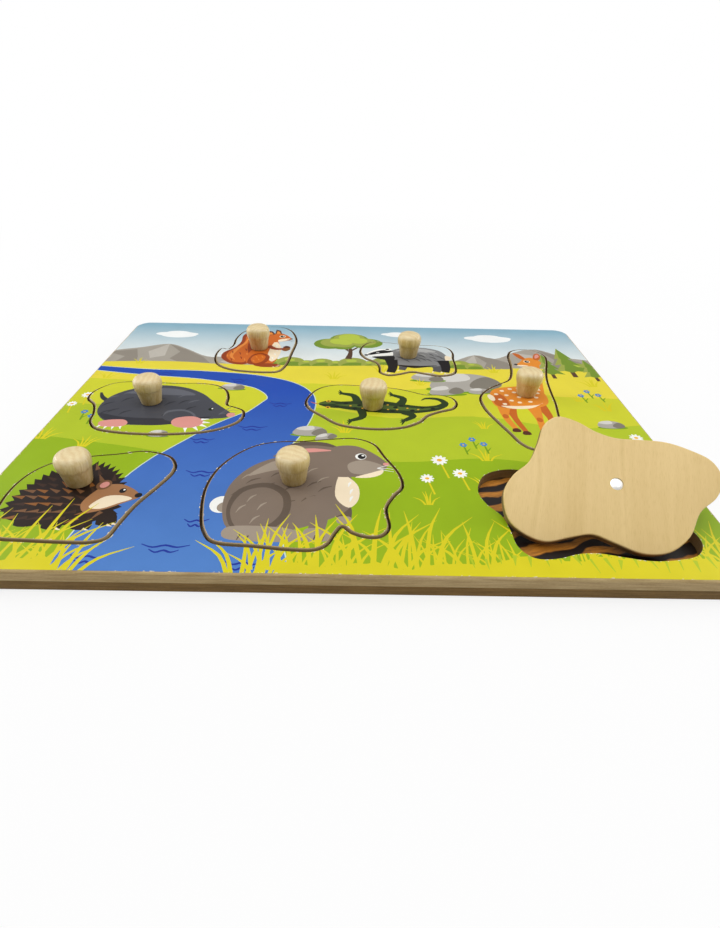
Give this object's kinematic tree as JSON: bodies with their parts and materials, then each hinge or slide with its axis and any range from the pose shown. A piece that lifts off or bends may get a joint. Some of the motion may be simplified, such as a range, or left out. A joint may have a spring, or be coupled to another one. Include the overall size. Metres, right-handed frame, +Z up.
{
  "type": "peg puzzle",
  "caption": "Wooden peg puzzle: a printed frame board over a backing board, with knobbed inserts sawn to rounded outlines that lift out of their wells.",
  "frame": {"origin": "middle of the board's underside", "axes": "+X along the board's long side to the right, +Y to its back, +Z up out of the wells"},
  "size_m": [0.3, 0.235, 0.0395],
  "materials": {
    "backing_wood": "satin",
    "frame_wood": "satin",
    "face_print": "gloss",
    "well_print": "satin",
    "insert_wood": "satin",
    "knob_wood": "satin",
    "rivet_steel": "polished",
    "squirrel_print": "gloss",
    "badger_print": "gloss",
    "mole_print": "gloss",
    "lizard_print": "gloss",
    "fawn_print": "gloss",
    "hedgehog_print": "gloss",
    "rabbit_print": "gloss",
    "bee_print": "gloss"
  },
  "bodies": {
    "board": {"backing_board": "backing_wood", "frame_board": "frame_wood", "face_print": "face_print", "well_print": "well_print"},
    "squirrel_piece": {"squirrel_insert": "insert_wood", "squirrel_print": "squirrel_print", "squirrel_knob": "knob_wood", "squirrel_rivet": "rivet_steel"},
    "badger_piece": {"badger_insert": "insert_wood", "badger_print": "badger_print", "badger_knob": "knob_wood", "badger_rivet": "rivet_steel"},
    "mole_piece": {"mole_insert": "insert_wood", "mole_print": "mole_print", "mole_knob": "knob_wood", "mole_rivet": "rivet_steel"},
    "lizard_piece": {"lizard_insert": "insert_wood", "lizard_print": "lizard_print", "lizard_knob": "knob_wood", "lizard_rivet": "rivet_steel"},
    "fawn_piece": {"fawn_insert": "insert_wood", "fawn_print": "fawn_print", "fawn_knob": "knob_wood", "fawn_rivet": "rivet_steel"},
    "hedgehog_piece": {"hedgehog_insert": "insert_wood", "hedgehog_print": "hedgehog_print", "hedgehog_knob": "knob_wood", "hedgehog_rivet": "rivet_steel"},
    "rabbit_piece": {"rabbit_insert": "insert_wood", "rabbit_print": "rabbit_print", "rabbit_knob": "knob_wood", "rabbit_rivet": "rivet_steel"},
    "bee_piece": {"bee_insert": "insert_wood", "bee_print": "bee_print", "bee_knob": "knob_wood", "bee_rivet": "rivet_steel"}
  },
  "joints": [
    {"name": "squirrel_lift", "type": "slide", "parent": "board", "child": "squirrel_piece", "axis": [0, 0, 1], "range_m": [0, 0.05]},
    {"name": "badger_lift", "type": "slide", "parent": "board", "child": "badger_piece", "axis": [0, 0, 1], "range_m": [0, 0.05]},
    {"name": "mole_lift", "type": "slide", "parent": "board", "child": "mole_piece", "axis": [0, 0, 1], "range_m": [0, 0.05]},
    {"name": "lizard_lift", "type": "slide", "parent": "board", "child": "lizard_piece", "axis": [0, 0, 1], "range_m": [0, 0.05]},
    {"name": "fawn_lift", "type": "slide", "parent": "board", "child": "fawn_piece", "axis": [0, 0, 1], "range_m": [0, 0.05]},
    {"name": "hedgehog_lift", "type": "slide", "parent": "board", "child": "hedgehog_piece", "axis": [0, 0, 1], "range_m": [0, 0.05]},
    {"name": "rabbit_lift", "type": "slide", "parent": "board", "child": "rabbit_piece", "axis": [0, 0, 1], "range_m": [0, 0.05]},
    {"name": "bee_lift", "type": "slide", "parent": "board", "child": "bee_piece", "axis": [0, 0, 1], "range_m": [0, 0.05]}
  ]
}
